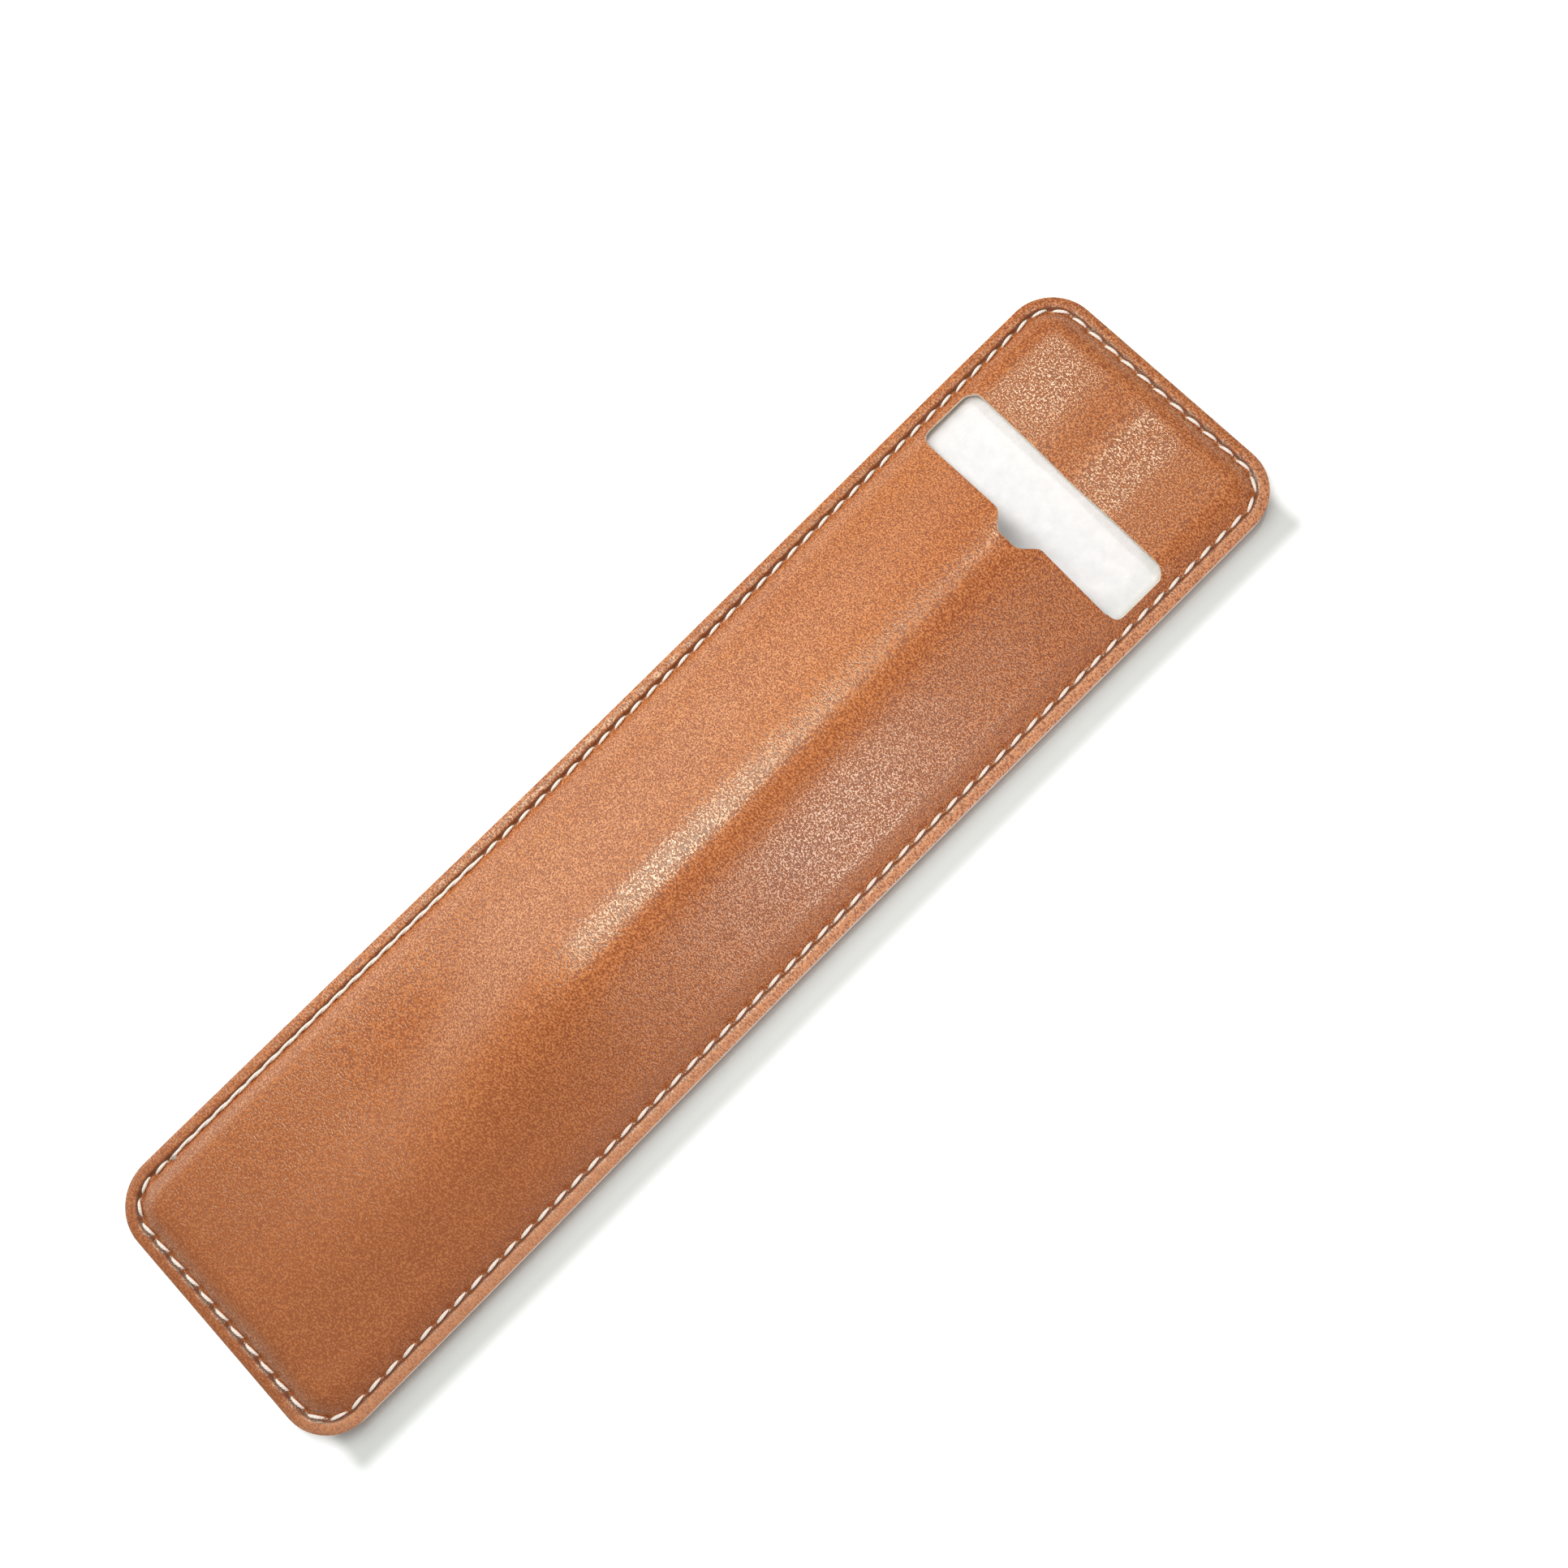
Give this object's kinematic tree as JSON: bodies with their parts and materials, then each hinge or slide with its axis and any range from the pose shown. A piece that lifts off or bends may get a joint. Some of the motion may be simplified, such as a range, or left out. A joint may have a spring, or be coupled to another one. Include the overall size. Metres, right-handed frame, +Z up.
{
  "type": "pen case",
  "caption": "Slim stitched leather pen case with a lined back, a window near one end, a notched lip and a long formed ridge that holds a pen.",
  "frame": {"origin": "middle of the underside, on the surface that the case lies on", "axes": "+Y along the case towards the window end, +Z up out of the front, +X across to the right seen from above"},
  "size_m": [0.043, 0.173, 0.0132],
  "materials": {
    "leather": "soft satin tan leather with a fine pebbled grain",
    "board": "plain grey-brown fibreboard",
    "lining": "pale brushed cloth",
    "backing": "cream knitted backing cloth",
    "thread": "twisted cream sewing thread"
  },
  "bodies": {
    "root": {"back_leather": "leather", "back_board": "board", "back_lining": "lining", "front_backing": "backing", "front_leather": "leather", "needle_thread": "thread", "bobbin_thread": "thread"}
  },
  "joints": []
}
